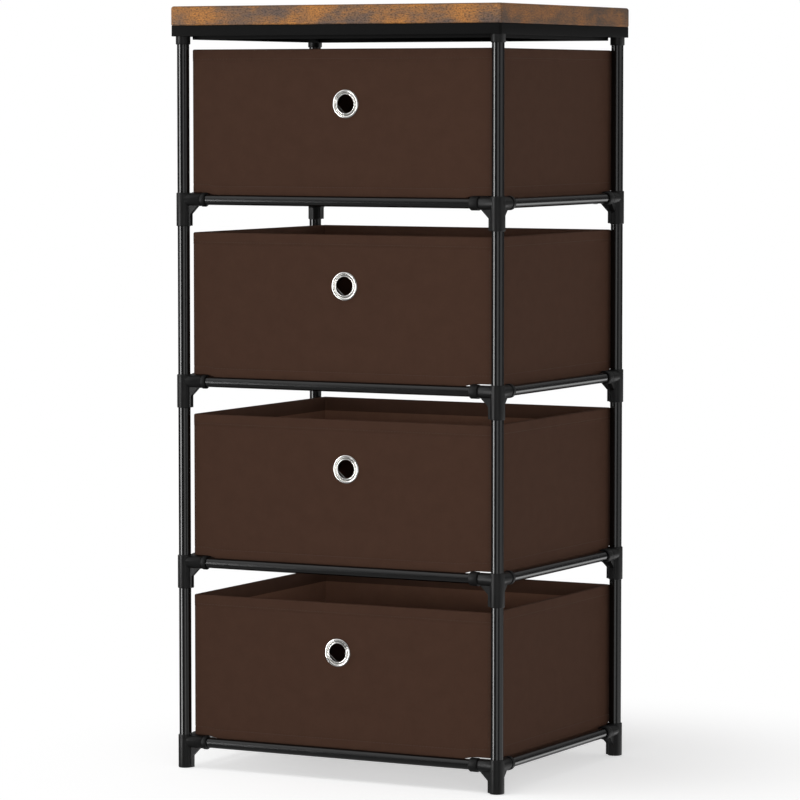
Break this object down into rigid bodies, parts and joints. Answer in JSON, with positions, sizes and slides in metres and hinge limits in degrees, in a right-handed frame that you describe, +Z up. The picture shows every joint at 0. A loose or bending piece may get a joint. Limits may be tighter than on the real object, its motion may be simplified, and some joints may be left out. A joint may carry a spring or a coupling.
{
  "type": "fabric drawer dresser",
  "caption": "Narrow tower dresser: black tube rack with moulded corner connectors, a wood-print board top and open fabric bins that pull out by metal finger eyelets.",
  "frame": {"origin": "on the floor under the middle of the rack, at the bottom centre of its box", "axes": "+Z up, +X to the right seen from the front, the front faces -Y"},
  "size_m": [0.3844, 0.3062, 0.7985],
  "materials": {
    "black_tube": "gloss black powder coat on thin steel tube",
    "black_plastic": "satin black injection moulding",
    "black_sheet": "satin black powder coat on pressed sheet",
    "wood_print": "rustic brown wood-grain laminate, low sheen",
    "bin_fabric": "dark brown non-woven fabric, dry and matte",
    "bin_board": "dark fabric over stiff board",
    "bright_plating": "bright nickel plate"
  },
  "bodies": {
    "rack": {"post_front_left": "black_tube", "top_socket_front_left": "black_plastic", "post_front_right": "black_tube", "top_socket_front_right": "black_plastic", "post_back_right": "black_tube", "top_socket_back_right": "black_plastic", "post_back_left": "black_tube", "top_socket_back_left": "black_plastic", "foot_connector_front_left": "black_plastic", "foot_connector_front_right": "black_plastic", "foot_connector_back_right": "black_plastic", "foot_connector_back_left": "black_plastic", "rail_1_front": "black_tube", "rail_1_back": "black_tube", "rail_1_left": "black_tube", "rail_1_right": "black_tube", "connector_2_front_left": "black_plastic", "connector_2_front_right": "black_plastic", "connector_2_back_right": "black_plastic", "connector_2_back_left": "black_plastic", "rail_2_front": "black_tube", "rail_2_back": "black_tube", "rail_2_left": "black_tube", "rail_2_right": "black_tube", "connector_3_front_left": "black_plastic", "connector_3_front_right": "black_plastic", "connector_3_back_right": "black_plastic", "connector_3_back_left": "black_plastic", "rail_3_front": "black_tube", "rail_3_back": "black_tube", "rail_3_left": "black_tube", "rail_3_right": "black_tube", "connector_4_front_left": "black_plastic", "connector_4_front_right": "black_plastic", "connector_4_back_right": "black_plastic", "connector_4_back_left": "black_plastic", "rail_4_front": "black_tube", "rail_4_back": "black_tube", "rail_4_left": "black_tube", "rail_4_right": "black_tube", "top_frame": "black_sheet", "top_board": "wood_print"},
    "bin_1": {"bin_1_fabric": "bin_fabric", "bin_1_floor_board": "bin_board", "bin_1_eyelet": "bright_plating", "bin_1_eyelet_washer": "bright_plating"},
    "bin_2": {"bin_2_fabric": "bin_fabric", "bin_2_floor_board": "bin_board", "bin_2_eyelet": "bright_plating", "bin_2_eyelet_washer": "bright_plating"},
    "bin_3": {"bin_3_fabric": "bin_fabric", "bin_3_floor_board": "bin_board", "bin_3_eyelet": "bright_plating", "bin_3_eyelet_washer": "bright_plating"},
    "bin_4": {"bin_4_fabric": "bin_fabric", "bin_4_floor_board": "bin_board", "bin_4_eyelet": "bright_plating", "bin_4_eyelet_washer": "bright_plating"}
  },
  "joints": [
    {"name": "bin_1_slide", "type": "slide", "parent": "rack", "child": "bin_1", "axis": [0, -1, 0], "range_m": [0, 0.24]},
    {"name": "bin_2_slide", "type": "slide", "parent": "rack", "child": "bin_2", "axis": [0, -1, 0], "range_m": [0, 0.24]},
    {"name": "bin_3_slide", "type": "slide", "parent": "rack", "child": "bin_3", "axis": [0, -1, 0], "range_m": [0, 0.24]},
    {"name": "bin_4_slide", "type": "slide", "parent": "rack", "child": "bin_4", "axis": [0, -1, 0], "range_m": [0, 0.24]}
  ]
}
